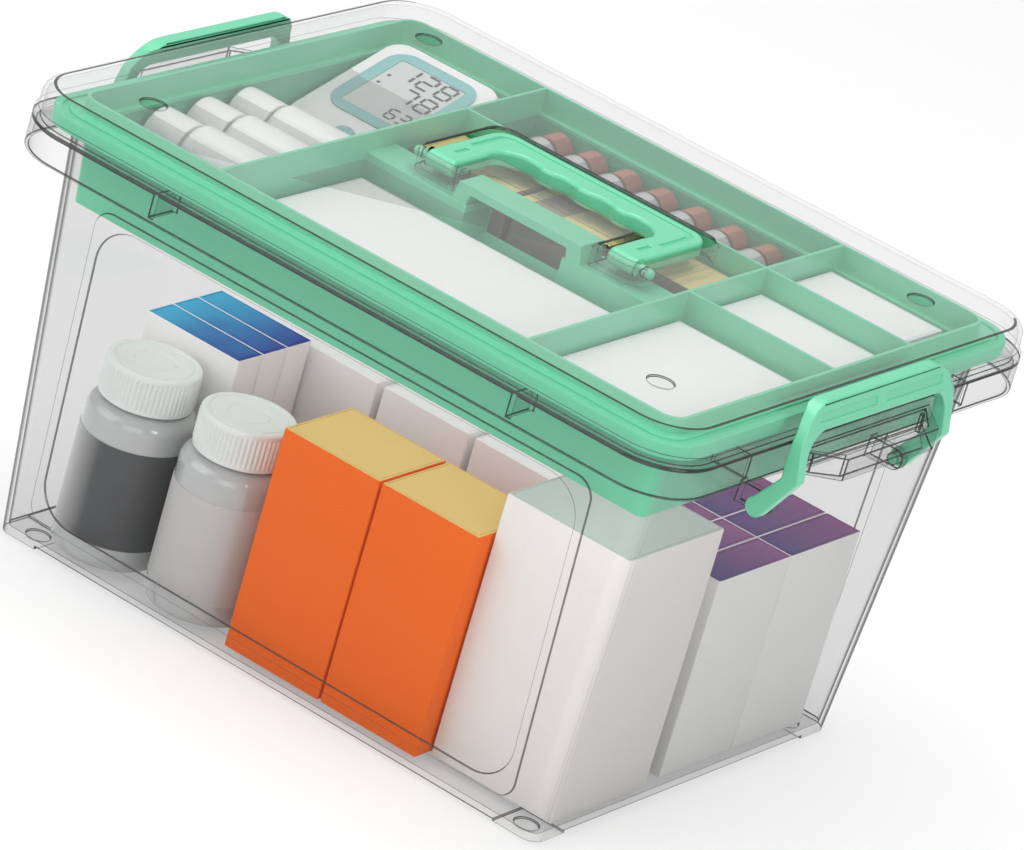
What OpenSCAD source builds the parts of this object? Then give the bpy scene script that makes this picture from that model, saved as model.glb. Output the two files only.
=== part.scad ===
// First aid box: a clear tub with a lift-off lid, two end latches, a fold-down handle,
// a lift-out tray, and the supplies that are packed in the tub and in the tray.
// X runs along the box, the front is -Y, and the feet stand on z = 0. Millimetres.

/* [Tub] */
// Length over the rim
rim_l = 400; // [390:1:420]
// Width over the rim
rim_w = 316; // [308:1:332]
// Corner radius of the rim
rim_r = 31; // [27:1:35]
// Height of the rim's top face
rim_z = 215; // [208:1:230]
// How far the mouth lies inside the rim
mouth_in = 20; // [18:0.5:21]
// Length of the tub at its base
base_l = 334; // [330:1:350]
// Width of the tub at its base
base_w = 251; // [248:1:262]
// Corner radius of the base
base_r = 8; // [6:1:14]
// Corner radius of the tub's wall at its mouth
mouth_r = 11; // [8:1:16]
// Thickness of the tub's walls and floor
wall = 2.2; // [1.8:0.1:2.6]
// Depth of the skirt that hangs from the rim
skirt_h = 16; // [14:0.5:18]
// Height of the four feet
foot_h = 2; // [1:0.5:3]
// Radius of a foot
foot_r = 6.2; // [5:0.1:7]
// Distance from the base's edges to a foot's centre
foot_in = 15; // [13:0.5:18]
// Length of the pads under the base's corners
pad_l = 25; // [20:1:30]
// Height to which the feet stand out from the pads
pad_drop = 1; // [0.5:0.1:1.5]
// Place of the gussets under the rim, from the middle of the long sides
gusset_x = 107; // [80:1:130]
// Inset of the embossed panel's ends from the ends of the base
panel_in = 17.5; // [14:0.5:30]
// Drop from the rim's top face to the panel's top edge
panel_drop = 33; // [28:1:65]
// Distance from the tub's floor line to the panel's bottom edge
panel_low = 13; // [10:1:40]
// Width of the panel's frame
panel_w = 5; // [2:0.5:6]
// Height to which the panel stands out
panel_t = 0.8; // [0.5:0.1:1.2]

/* [End grips] */
// Gap between a grip and the latch's legs
grip_gap = 1.5; // [1:0.5:4]
// Width of a grip's outer bar
grip_bar_w = 78; // [70:1:84]
// How far a grip stands out from the rim
grip_out = 18; // [16:0.5:19]
// Height of a grip
grip_h = 11.5; // [8:0.5:12]
// Thickness of a grip's bar and sides
grip_t = 4; // [3:0.5:5]
// Drop from the rim's top face to the grip's top
grip_drop = 5.5; // [5:0.5:7]

/* [Lid] */
// Height of the lid's flat top above the rim
lid_h = 17; // [16:0.5:20]
// Thickness of the lid
lid_t = 2; // [1.6:0.1:2.2]
// Height of the lid's base flange
flange_h = 5; // [4:0.5:6]
// Inset of the lid's crown from its flange
crown_in = 2; // [1:0.5:3]
// Radius of the crown's top edge
edge_r = 6; // [4:0.5:7]
// Radius of the dimples that take the feet of a second box
dimple_r = 6.7; // [6.6:0.1:7.2]
// Depth of a dimple
dimple_t = 1; // [0.6:0.1:1.2]

/* [Handle] */
// Length of the handle over its arms
handle_l = 128; // [118:1:134]
// Width of an arm
arm_w = 17; // [15:0.5:19]
// Distance from the pivot to the back edge of the handle's bar
handle_reach = 60; // [56:1:64]
// Width of the handle's bar across the finger hollows
bar_w = 20; // [18:0.5:22]
// Thickness of the handle
handle_t = 9; // [8:0.5:9]
// Depth of the finger hollows
hollow_t = 2.5; // [1.5:0.1:3]
// Place of the handle's pivot, from the middle of the box
pivot_y = -3; // [-5:0.5:0]
// Radius of every pivot pin
pin_r = 2.5; // [2:0.1:2.8]
// Running clearance between a pin and its bore
pin_gap = 0.05; // [0.03:0.01:0.08]
// Gap between the handle and the sides of its pocket
pocket_gap = 4; // [2:0.5:5]
// Gap between the handle and the pocket's floor
pocket_floor_gap = 0.7; // [0.4:0.1:1]

/* [Latches] */
// Width of a latch over its legs
latch_w = 131; // [122:1:136]
// Width of a leg
leg_w = 6.5; // [5.5:0.5:7]
// Height of the latch's bar
latch_bar_h = 13.4; // [12:0.1:15]
// Height of the latch's top above the lid's top
latch_over = 2; // [1.4:0.1:3]
// Radius of the latch's shoulders
shoulder_r = 22; // [16:1:24]
// Thickness of the latch's bar
latch_t = 5.2; // [4.6:0.1:5.8]
// Thickness of a leg
leg_t = 6; // [5:0.5:7]
// How far the hook lip reaches over the lid
lip_in = 4; // [3:0.5:5]
// Gap between the latch and the rim
latch_gap = 1; // [0.8:0.1:1.4]
// Length of each groove in the latch's bar
groove_l = 48.5; // [40:0.5:50]
// Distance between the two grooves
groove_gap = 7.8; // [5:0.1:12]
// Distance of the latch pivot inside the rim's end
latch_pivot_in = 7.7; // [6.5:0.1:13]
// Drop from the rim's top face to the latch pivot
latch_pivot_drop = 37.1; // [35:0.1:44]
// Radius of a leg's foot
leg_foot_r = 5; // [4.5:0.1:5.5]
// Corner radius of the window between the legs
window_r = 13; // [6:1:16]
// Thickness of a pivot lug
lug_t = 5; // [4:0.5:6]

/* [Tray] */
// Height of the tray from its bottom to its collar's top
tray_h = 54; // [48:1:56]
// Gap between the tray's collar and the lid
collar_gap = 1; // [0.5:0.1:3]
// Thickness of the tray's walls
tray_t = 1.8; // [1.4:0.1:2.2]
// Gap between the tray and the tub's mouth at the ends
tray_gap_x = 2.5; // [1.5:0.5:4]
// Gap between the tray and the tub's mouth along the sides
tray_gap_y = 5.5; // [4:0.5:7]
// How much the collar stands out from the tray's basin
collar_step = 3.2; // [2:0.2:4]
// Inset of the tray's flange from the rim
tray_flange_in = 9; // [8:0.5:11]
// Height of the tray's flange above the rim
tray_flange_h = 7; // [6:0.5:8]
// How much the basin narrows on each side
tray_draft = 3.5; // [2:0.5:5]
// Corner radius of the tray's collar
tray_r = 10; // [9:1:16]
// Distance of the cross dividers from the middle
divider_x = 92; // [90:1:96]
// Place of the back divider
divider_y = 65; // [64:1:68]
// Place of the right column's front divider
column_y = -1; // [-3:1:1]
// Gap between the spine and the handle's pocket
spine_gap = 1.3; // [0.8:0.1:3]
// Front face of the spine
spine_front = -15; // [-17:0.5:-14]
// Back face of the spine
spine_back = 9.5; // [8:0.5:12]
// Gap between the arch handle's ends and the handle's pocket
arch_side_gap = 2; // [1.5:0.5:6]
// Width of the arch handle
arch_w = 19; // [15:0.5:20]
// Gap between the arch handle and the lid
arch_top_gap = 1.5; // [1:0.1:3]
// Depth of the finger opening under the arch
arch_gap = 18; // [14:1:24]

/* [Tub supplies] */
// Radius of a pill bottle
bottle_r = 27.5; // [24:0.5:27.5]
// Height of a pill bottle with its cap
bottle_h = 102; // [90:1:120]
// Radius of a pill bottle's cap
cap_r = 23.5; // [21:0.5:24]
// Height of a pill bottle's cap
cap_h = 20; // [16:1:24]
// Gap between the two pill bottles
bottle_gap = 4.5; // [2:0.5:7]
// Height at which a pill bottle's label starts
label_low = 12; // [6:1:20]
// Drop from a pill bottle's cap to its label
label_drop = 18; // [10:1:24]
// Thickness of a label
label_t = 0.35; // [0.2:0.05:0.5]
// Width of an orange carton
orange_w = 53; // [45:1:58]
// Height of an orange carton
orange_h = 117; // [100:1:125]
// Size of the tall carton
tall = [72, 78, 139]; // [60:1:145]
// Thickness of a purple carton
purple_t = 20.5; // [18:0.5:22]
// Height of a purple carton
purple_h = 106.4; // [95:0.1:112]
// Size of a blue carton
blue = [58, 19, 108]; // [17:1:112]
// Size of a white carton in the tub
white = [53, 50, 104]; // [40:1:110]
// Gap between neighbouring cartons
carton_gap = 0.6; // [0.4:0.1:1]
// Gap between the orange cartons and beside the tall carton
orange_gap = 1.5; // [1:0.5:4]
// Room between the pill bottles and the orange cartons
orange_room = 7.8; // [4:0.2:12]
// Room between the tall carton and the purple cartons
tall_room = 15; // [8:1:20]

/* [Tray supplies] */
// Radius of a small bottle
small_r = 15.5; // [13:0.5:16]
// Room that a small bottle leaves along its column
small_room = 2.1; // [1.6:0.1:12]
// Radius of a small bottle's cap
small_cap_r = 14; // [11:0.5:14.5]
// Height of a small bottle's cap
small_cap_h = 22; // [15:1:26]
// Gap between the small bottles
small_gap = 2; // [1:0.5:4]
// Drop from the spine's top to the small bottles
small_drop = 0; // [0:0.1:5]
// Room beside the right cartons
side_room = 2; // [1:0.1:20]
// Room beside the monitor
monitor_room = 5.5; // [4:0.1:20]
// Room between the monitor's far end and the tray's back wall
monitor_back = 15.5; // [12:0.5:24]
// Length of the monitor's case
monitor_l = 93.5; // [82:0.5:96]
// Thickness of the monitor's case
monitor_t = 24; // [20:1:25]
// Tilt of the monitor
monitor_tilt = 16; // [10:1:16]
// Travel of the monitor's start button
button_travel = 1; // [0.6:0.1:1.2]
// Radius of the start button
button_r = 5; // [4:0.5:6]
// Inset of the monitor's bezel from the case's sides
bezel_in = 8.5; // [6:0.5:10]
// Width of the bezel round the screen
bezel_w = 7; // [4:0.5:8]
// Inset of the bezel from the case's far end
bezel_far = 8; // [4:0.5:10]
// Length of the bezel
bezel_l = 62; // [54:1:64]
// Width of the pack under the monitor
monitor_pack_w = 42; // [30:1:50]
// Length of the pack under the monitor
monitor_pack_l = 22; // [16:1:28]
// Distance from the monitor's front edge to the pack under it
monitor_pack_y = 58; // [50:1:62]
// Height of the dressing carton
dressing_h = 32; // [24:1:34]
// Room between the dressing carton and the right divider
dressing_room = 17; // [6:1:30]
// Drop from the spine's top to the tops of the yellow cartons
carton_drop = 2.2; // [2:0.1:8]
// Width of a yellow carton
yellow_w = 35; // [28:1:40]
// Gap between the yellow cartons
yellow_gap = 4; // [2:0.5:6]
// Number of vials in the row
vials = 7; // [7]
// Radius of a vial
vial_r = 9.5; // [8:0.5:10]
// Room that a vial leaves along its compartment
vial_room = 5.1; // [3:0.1:10]
// Length of a vial's cap
vial_cap_h = 14; // [10:1:16]
// Gap between the vials
vial_gap = 2.8; // [1:0.1:3]
// Drop from the spine's top to the vials
vial_drop = 3.2; // [3:0.1:8]

/* [Hidden] */

// Overshoot of a cut past the face that it leaves
cut = 1;
// Rest gap between a piece and the seat that carries it
seat = 0.1;
// Height of the thin slices between which a tapered wall is drawn
slice = 0.1;

// Half sizes of the tub's wall, outside, at the base and at the mouth
base = [base_l / 2, base_w / 2];
mouth = [rim_l / 2 - mouth_in, rim_w / 2 - mouth_in];
floor_z = foot_h + wall;
skirt_z = rim_z - skirt_h;
panel_z = rim_z - panel_drop;
panel_l = base_l - 2 * panel_in;
inner_base = base - [wall, wall];
inner_mouth = mouth - [wall, wall];
foot_at = base - [foot_in, foot_in];

lid_z = rim_z + lid_h;
crown = [rim_l / 2 - crown_in, rim_w / 2 - crown_in];
grip_top = rim_z - grip_drop;

// The handle lies flush with the lid's top
handle_z = lid_z - handle_t / 2;
arm_r = handle_t / 2;
arm_in = handle_l / 2 - arm_w;
bar_back = pivot_y + handle_reach;
bar_front = bar_back - bar_w;
pocket_floor = lid_z - handle_t - pocket_floor_gap;
pocket_x = handle_l / 2 + pocket_gap;
pocket_front = pivot_y - arm_r - pocket_gap / 2;
pocket_back = bar_back + pocket_gap * 0.75;
plateau_x = arm_in - pocket_gap;
plateau_back = bar_front - pocket_gap * 3.5;
pin_end = pocket_x + lid_t + 2.5;

latch_x = rim_l / 2 - latch_pivot_in;
latch_z = rim_z - latch_pivot_drop;
latch_top = lid_z + latch_over;
latch_low = latch_top - latch_bar_h;
leg_in = latch_w / 2 - leg_w;
grip_w = 2 * (leg_in - grip_gap);
lug_out = leg_in - 1;
bar_lean = 3.2;

collar_z = lid_z - lid_t - collar_gap;
tray_z = collar_z - tray_h;
tray_floor = tray_z + tray_t;
basin = inner_mouth - [tray_gap_x, tray_gap_y];
basin_low = basin - [tray_draft, tray_draft];
basin_r = tray_r - collar_step;
collar = basin + [collar_step, collar_step];
tray_flange = [rim_l / 2 - tray_flange_in, rim_w / 2 - tray_flange_in];
tray_flange_z = rim_z + tray_flange_h;
tray_in = basin_low - [tray_t, tray_t];
spine_z = pocket_floor - lid_t - spine_gap;
arch_l = 2 * (plateau_x - lid_t - arch_side_gap);
arch_h = lid_z - lid_t - arch_top_gap - spine_z;

// Places of the supplies, from the walls that they stand against
bottle_at = [-inner_base[0] + bottle_r + 13.3, -inner_base[1] + bottle_r + 2];
bottle_pitch = 2 * bottle_r + bottle_gap;
tall_at = [inner_base[0] - 3 - tall[0], -inner_base[1] + 17];
orange_y = -inner_base[1] + 6;
orange_from = bottle_at[0] + bottle_pitch + bottle_r + orange_room;
orange = [(tall_at[0] - orange_from) / 2 - orange_gap, orange_w, orange_h];
purple_at = [inner_base[0] - 5, inner_base[1] - 14];
purple = [purple_t, (purple_at[1] - tall_at[1] - tall[1] - tall_room - carton_gap) / 2, purple_h];
blue_at = [-inner_base[0] + 9, bottle_at[1] + bottle_r + 3];
white_y = blue_at[1] + 3 * (blue[1] + carton_gap) + 2;
white_x = blue_at[0] + 46;
stack_h = spine_z - tray_floor;
column_w = tray_in[0] - divider_x - tray_t / 2;
small_at = [-tray_in[0] + 1, spine_front + 4];
small_h = column_w - small_room;
small_pitch = 2 * small_r + small_gap;
small_pack_h = stack_h - 2 * small_r - small_drop;
monitor = [column_w - monitor_room, monitor_l, monitor_t];
monitor_x = -tray_in[0] + monitor[0] / 2 + 1;
monitor_front = tray_in[1] - monitor_back - monitor[1] * cos(monitor_tilt) + monitor[2] * sin(monitor_tilt);
dressing_x = -divider_x + 6;
dressing = [divider_x - dressing_room - dressing_x, tray_in[1] + spine_front - 10, dressing_h];
column_x = divider_x + tray_t / 2 + 2;
column_l = column_w - side_room - 2;
column_h = stack_h - carton_drop;
yellow = [(2 * divider_x - tray_t - 2 * yellow_gap - 6.2) / 3, yellow_w, column_h];
vial_back = tray_in[1] - 1;
vial_h = tray_in[1] - divider_y - tray_t / 2 - vial_room;
vial_pitch = 2 * vial_r + vial_gap;
vial_pack_h = stack_h - 2 * vial_r - vial_drop;
vial_x0 = -(vials - 1) / 2 * vial_pitch - 4.5;

clear_plastic = [0.92, 0.93, 0.93, 0.35];
mint = [0.43, 0.86, 0.67];
carton_white = [0.9, 0.89, 0.88];
bottle_white = [0.89, 0.91, 0.89];

// A rounded rectangle, centred, from its half sizes
module rounded(half, r, fn = 48) {
    square([2 * half[0] - 2 * r, 2 * half[1]], center = true);
    square([2 * half[0], 2 * half[1] - 2 * r], center = true);
    for (sx = [-1, 1], sy = [-1, 1])
        translate([sx * (half[0] - r), sy * (half[1] - r)]) circle(r, $fn = fn);
}

// A rounded slab between two heights
module slab(half, r, z0, z1, fn = 48) {
    translate([0, 0, z0]) linear_extrude(z1 - z0) rounded(half, r, fn);
}

// A rounded band with vertical faces; its wall lies inside the half sizes
module band(half, r, t, z0, z1) {
    translate([0, 0, z0]) linear_extrude(z1 - z0) difference() {
        rounded(half, r);
        rounded(half - [t, t], r - t);
    }
}

// A body that widens from one rounded outline to another
module tapered(half0, r0, z0, half1, r1, z1) {
    hull() {
        slab(half0, r0, z0, z0 + slice, 32);
        slab(half1, r1, z1 - slice, z1, 32);
    }
}

// A rounded slab whose top edge is round too
module crowned(half, r, z0, z1, edge) {
    hull() for (sx = [-1, 1], sy = [-1, 1])
        translate([sx * (half[0] - r), sy * (half[1] - r), 0]) rotate_extrude($fn = 32)
            polygon(concat([[0, z0], [r, z0]],
                [for (a = [0:15:90]) [r - edge + edge * cos(a), z1 - edge + edge * sin(a)]],
                [[0, z1]]));
}

// Draws its children at both ends of the box
module both_ends() {
    children();
    mirror([1, 0, 0]) children();
}

// Draws its children at all four corners
module four_corners() {
    for (sx = [0, 1], sy = [0, 1])
        mirror([sx, 0, 0]) mirror([0, sy, 0]) children();
}

// The plan of an end grip: a trapezoid loop that stands out from the skirt
module grip_plan(root, tip, out) {
    polygon([[0, -root / 2], [out, -tip / 2], [out, tip / 2], [0, root / 2]]);
}

module grip() {
    translate([rim_l / 2 - slice, 0, grip_top - grip_h]) linear_extrude(grip_h) difference() {
        grip_plan(grip_w, grip_bar_w, grip_out + slice);
        translate([grip_t / 2, 0]) grip_plan(grip_w - 3.2 * grip_t, grip_bar_w - 2 * grip_t,
            grip_out - 1.5 * grip_t);
    }
    // Ribs across the grip's sides
    for (sy = [-1, 1]) translate([rim_l / 2 - slice, sy * (grip_w / 2 - grip_t * 2.2) - 1,
        grip_top - grip_h]) cube([grip_out / 3, 2, grip_h - 2]);
}

// A pivot lug: a plate with a round end that the latch's pin turns in
module lug() {
    wall_x = base[0] + (mouth[0] - base[0]) * (latch_z - foot_h) / (rim_z - foot_h);
    root = wall_x - 2 * wall;
    for (sy = [0, 1]) mirror([0, sy, 0])
        translate([0, lug_out, 0]) rotate([90, 0, 0]) linear_extrude(lug_t) {
            translate([latch_x, latch_z]) circle(leg_foot_r + 0.5, $fn = 48);
            translate([root, latch_z - leg_foot_r - 0.5]) square([latch_x - root, 2 * leg_foot_r + 1]);
        }
}

module tub_cavity(z_top) {
    tapered(inner_base, base_r - wall, floor_z, inner_mouth, mouth_r - wall, z_top);
}

// Clear moulded tub with its rim, skirt, end grips, latch lugs and feet
module tub() {
    color(clear_plastic) difference() {
        union() {
            difference() {
                union() {
                    tapered(base, base_r, foot_h, mouth, mouth_r, rim_z);
                    both_ends() lug();
                    slab([rim_l / 2, rim_w / 2], rim_r, rim_z - wall, rim_z);
                }
                tub_cavity(rim_z);
                translate([0, 0, rim_z - slice]) slab(inner_mouth, mouth_r - wall, 0, cut);
            }
            band([rim_l / 2, rim_w / 2], rim_r, wall, skirt_z, rim_z);
            both_ends() grip();
            four_corners() {
                translate([foot_at[0], foot_at[1], 0]) cylinder(h = foot_h + wall / 2, r = foot_r, $fn = 48);
                pad();
                gussets();
            }
            for (sy = [0, 1]) mirror([0, sy, 0]) panel();
        }
        both_ends() translate([latch_x, 0, latch_z]) rotate([90, 0, 0])
            cylinder(h = latch_w, r = pin_r + pin_gap, center = true, $fn = 48);
    }
}

// A flat pad under a corner of the base, thinner than the foot that stands out from it
module pad() {
    intersection() {
        slab(base, base_r, pad_drop, foot_h + wall / 2);
        translate([base[0] - pad_l, base[1] - pad_l, 0]) cube([pad_l, pad_l, foot_h + wall]);
    }
}

// Thin plates that tie the skirt to the wall under the rim
module gussets() {
    translate([gusset_x - wall / 2, mouth[1] - wall / 2, skirt_z + 2])
        cube([wall, mouth_in - wall / 2, skirt_h - 2 - wall / 2]);
    translate([mouth[0] - wall / 2, grip_w / 2 + 34, skirt_z + 2])
        cube([mouth_in - wall / 2, wall, skirt_h - 2 - wall / 2]);
}

// Raised frame of the embossed panel on a long side, which follows the wall's slope
module panel() {
    lean = atan((mouth[1] - base[1]) / (rim_z - foot_h));
    translate([0, -base[1] - panel_t, foot_h]) rotate([90 + lean, 0, 0])
        translate([0, (panel_z + panel_low) / 2, -wall]) linear_extrude(wall) difference() {
            rounded([panel_l / 2, (panel_z - panel_low) / 2], 10);
            rounded([panel_l / 2 - panel_w, (panel_z - panel_low) / 2 - panel_w], 20);
        }
}

// The plan of the handle's pocket: a band along the back and one arm on each side
module pocket_plan(grow) {
    difference() {
        translate([0, (pocket_front + pocket_back) / 2])
            rounded([pocket_x + grow, (pocket_back - pocket_front) / 2 + grow], 9 + grow);
        translate([0, plateau_back / 2 + pocket_front / 2 - grow - 20])
            rounded([plateau_x - grow, (plateau_back - pocket_front) / 2 + 20], 5);
    }
}

// Clear lid with the handle's pocket and its two pivot bores
module lid() {
    color(clear_plastic) difference() {
        union() {
            difference() {
                union() {
                    crowned([rim_l / 2, rim_w / 2], rim_r, rim_z, rim_z + flange_h, flange_h * 0.6);
                    crowned(crown, rim_r - crown_in, rim_z, lid_z, edge_r);
                }
                crowned(crown - [lid_t, lid_t], rim_r - crown_in - lid_t, rim_z - cut,
                    lid_z - lid_t, edge_r - lid_t);
            }
            translate([0, 0, pocket_floor - lid_t]) linear_extrude(lid_z - pocket_floor + lid_t)
                pocket_plan(lid_t);
        }
        translate([0, 0, pocket_floor]) linear_extrude(handle_t + cut + pocket_floor_gap)
            pocket_plan(0);
        four_corners() translate([foot_at[0], foot_at[1], lid_z - dimple_t])
            cylinder(h = dimple_t + cut, r = dimple_r, $fn = 48);
        translate([0, pivot_y, handle_z]) rotate([0, 90, 0])
            cylinder(h = 2 * pin_end + 2, r = pin_r + pin_gap, center = true, $fn = 48);
    }
}

// The handle's outline: a bar with finger hollows and an arm on each side
module handle_plan() {
    hollow_r = 14;
    difference() {
        union() {
            translate([0, (pivot_y + bar_back) / 2])
                rounded([handle_l / 2, (bar_back - pivot_y) / 2], 11);
            for (sx = [0, 1]) mirror([sx, 0]) translate([arm_in, pivot_y]) square([arm_w, 20]);
        }
        translate([0, bar_front - 40]) rounded([arm_in, 40], 8);
        for (i = [-1.5:1:1.5])
            translate([i * arm_in * 0.48, bar_front - hollow_r + hollow_t]) circle(hollow_r, $fn = 48);
    }
}

// The line of a groove that runs along the bar and round its corners into the arms
module handle_groove() {
    inset = 5;
    difference() {
        translate([0, (pivot_y + bar_back) / 2])
            rounded([handle_l / 2 - inset, (bar_back - pivot_y) / 2 - inset], 7);
        translate([0, (pivot_y + bar_back) / 2])
            rounded([handle_l / 2 - inset - 3, (bar_back - pivot_y) / 2 - inset - 3], 4.5);
        translate([0, pivot_y - 12]) square([handle_l, 2 * (handle_reach * 0.62)], center = true);
    }
    for (sx = [0, 1]) mirror([sx, 0]) translate([arm_in + arm_w / 2, pivot_y + 14]) square([2.4, 11], center = true);
}

// Fold-down carrying handle with its two pivot pins
module lid_handle() {
    color(mint) {
        difference() {
            union() {
                translate([0, 0, handle_z - arm_r]) linear_extrude(handle_t) handle_plan();
                for (sx = [0, 1]) mirror([sx, 0, 0]) translate([arm_in, pivot_y, handle_z])
                    rotate([0, 90, 0]) cylinder(h = arm_w, r = arm_r, $fn = 48);
            }
            translate([0, 0, lid_z - 1.2]) linear_extrude(cut + 1.2) handle_groove();
        }
        for (sx = [0, 1]) mirror([sx, 0, 0]) translate([arm_in + arm_w / 2, pivot_y, handle_z])
            rotate([0, 90, 0]) cylinder(h = pin_end - arm_in - arm_w / 2, r = pin_r, $fn = 48);
    }
}

// A latch from the side: leg, bar and the hook lip that reaches over the lid's edge
module latch_side() {
    face = rim_l / 2 + latch_gap;
    // The lip's underside follows the round edge of the lid's crown
    hook = edge_r + latch_gap;
    hook_end = acos((crown_in + edge_r - lip_in) / hook);
    polygon(concat([
        [latch_x - leg_foot_r * 0.45, latch_z + leg_foot_r * 0.89],
        [face, skirt_z - 2],
        [face, latch_low]],
        [for (a = [10, (10 + hook_end) / 2, hook_end])
            [crown[0] - edge_r + hook * cos(a), lid_z - edge_r + hook * sin(a)]],
        [[rim_l / 2 - lip_in, latch_top - 0.6],
        [rim_l / 2 - lip_in + 1, latch_top],
        [face + latch_t - bar_lean, latch_top],
        [face + latch_t + 0.5 - bar_lean, latch_top - 1],
        [face + latch_t + 0.4, latch_low],
        [face + leg_t, latch_low - 4],
        [face + leg_t + 3.4, skirt_z - 1],
        [latch_x + leg_foot_r * 0.89, latch_z - leg_foot_r * 0.45],
        [latch_x, latch_z]
    ]));
    translate([latch_x, latch_z]) circle(leg_foot_r, $fn = 48);
}

// A latch from the front: two legs under a bar with round shoulders
module latch_front() {
    low = latch_z - leg_foot_r - cut;
    r = shoulder_r;
    difference() {
        union() {
            translate([-latch_w / 2, low]) square([latch_w, latch_top - r - low]);
            translate([-latch_w / 2 + r, low]) square([latch_w - 2 * r, latch_top - low]);
            for (s = [-1, 1]) translate([s * (latch_w / 2 - r), latch_top - r]) circle(r, $fn = 64);
        }
        translate([0, latch_low - 40]) rounded([leg_in, 40], window_r);
        translate([-leg_in, low - cut]) square([2 * leg_in, latch_low - low - 20]);
    }
}

// End latch: a swinging frame with a hook lip and two inward pivot pins
module latch() {
    lean = atan(bar_lean / latch_bar_h);
    color(mint) {
        difference() {
            intersection() {
                rotate([90, 0, 0]) translate([0, 0, -latch_w / 2]) linear_extrude(latch_w) latch_side();
                translate([latch_x - 20, 0, 0]) rotate([90, 0, 90]) linear_extrude(60) latch_front();
            }
            for (s = [-1, 1]) translate([rim_l / 2 + latch_gap + latch_t + 0.4,
                s * (groove_l + groove_gap) / 2, latch_low])
                rotate([0, -lean, 0]) translate([-0.9, -groove_l / 2, 4.3]) cube([4, groove_l, 4.6]);
        }
        for (s = [0, 1]) mirror([0, s, 0]) translate([latch_x, lug_out - lug_t - 0.5, latch_z])
            rotate([-90, 0, 0]) cylinder(h = lug_t + 2 + leg_w / 2, r = pin_r, $fn = 48);
    }
}

module latch_right() {
    latch();
}

module latch_left() {
    mirror([1, 0, 0]) latch();
}

// A divider plate between the tray's floor and the collar's top
module divider(x0, x1, y0, y1, top) {
    translate([x0, y0, tray_z + tray_t / 2]) cube([x1 - x0, y1 - y0, top - tray_z - tray_t / 2]);
}

// Lift-out tray with its dividers, spine and arch handle
module tray() {
    half_t = tray_t / 2;
    color(mint) {
        difference() {
            union() {
                tapered(basin_low, basin_r - 3, tray_z, basin, basin_r, rim_z);
                slab(basin, basin_r, rim_z - slice, rim_z + tray_t);
                slab(collar, tray_r, rim_z, collar_z);
                slab(tray_flange, rim_r - tray_flange_in, tray_flange_z - 2.4, tray_flange_z);
            }
            tapered(tray_in, basin_r - 3 - tray_t, tray_floor,
                basin - [tray_t, tray_t], basin_r - tray_t, rim_z);
            slab(basin - [tray_t, tray_t], basin_r - tray_t, rim_z - slice, rim_z + 2 * tray_t);
            slab(collar - [tray_t, tray_t], tray_r - tray_t, rim_z + tray_t, collar_z + cut);
            // A groove runs round the flange's top
            band(tray_flange - [4, 4], rim_r - tray_flange_in - 4, 3.4, tray_flange_z - 1, tray_flange_z + cut);
        }
        band(tray_flange, rim_r - tray_flange_in, tray_t, rim_z, tray_flange_z - 0.6);
        intersection() {
            union() {
                for (s = [-1, 1])
                    divider(s * divider_x - half_t, s * divider_x + half_t, -collar[1], collar[1], collar_z);
                divider(-divider_x, collar[0], divider_y - half_t, divider_y + half_t, collar_z);
                divider(divider_x, collar[0], column_y - half_t, column_y + half_t, collar_z);
            }
            union() {
                tapered(basin_low - [half_t, half_t], basin_r - 3 - half_t, tray_z,
                    basin - [half_t, half_t], basin_r - half_t, rim_z);
                slab(basin - [half_t, half_t], basin_r - half_t, rim_z - slice, rim_z + tray_t);
                slab(collar - [half_t, half_t], tray_r - half_t, rim_z + tray_t / 2, collar_z);
            }
        }
        spine();
        arch();
    }
}

// The tray's hollow spine, notched under the arch so that fingers reach through
module spine() {
    difference() {
        translate([-divider_x, spine_front, tray_z + tray_t / 2])
            cube([2 * divider_x, spine_back - spine_front, spine_z - tray_z - tray_t / 2]);
        translate([-divider_x - cut, spine_front + tray_t, tray_z - cut])
            cube([2 * (divider_x + cut), spine_back - spine_front - 2 * tray_t, spine_z - tray_t - tray_z + cut]);
        translate([-arch_l / 2 + 10, spine_front - cut, spine_z - arch_gap])
            cube([arch_l - 20, spine_back - spine_front + 2 * cut, arch_gap + cut]);
    }
    translate([-arch_l / 2 + 10, spine_front, spine_z - arch_gap - tray_t])
        cube([arch_l - 20, spine_back - spine_front, tray_t]);
    for (s = [-1, 1]) translate([s * (arch_l / 2 - 10 + tray_t / 2) - tray_t / 2, spine_front, spine_z - arch_gap - tray_t])
        cube([tray_t, spine_back - spine_front, arch_gap + tray_t]);
}

// The bridge by which the tray is lifted, with chamfered feet
module arch() {
    mid = (spine_front + spine_back) / 2 - 1.8;
    translate([0, mid + arch_w / 2, spine_z - tray_t / 2]) rotate([90, 0, 0]) linear_extrude(arch_w) difference() {
        polygon([[-arch_l / 2, 0], [-arch_l / 2 + 2, arch_h + tray_t / 2], [arch_l / 2 - 2, arch_h + tray_t / 2],
            [arch_l / 2, 0]]);
        polygon([[-arch_l / 2 + 8, -cut], [-arch_l / 2 + 10, arch_h - 3.5], [arch_l / 2 - 10, arch_h - 3.5],
            [arch_l / 2 - 8, -cut]]);
    }
}

// A bottle's body: cylinder, round shoulder and the neck that its cap sits on
module bottle_body(r, h, neck_r, neck_cap_h) {
    shoulder = r - neck_r;
    neck_z = h - neck_cap_h;
    rotate_extrude($fn = 64) polygon(concat(
        [[0, 0], [r - 3, 0], [r, 3]],
        [for (a = [0:15:75]) [neck_r + shoulder * cos(a), neck_z - 1 - shoulder + shoulder * sin(a)]],
        [[neck_r, neck_z - 1], [neck_r, h - 2.5], [0, h - 2.5]]));
}

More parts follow.
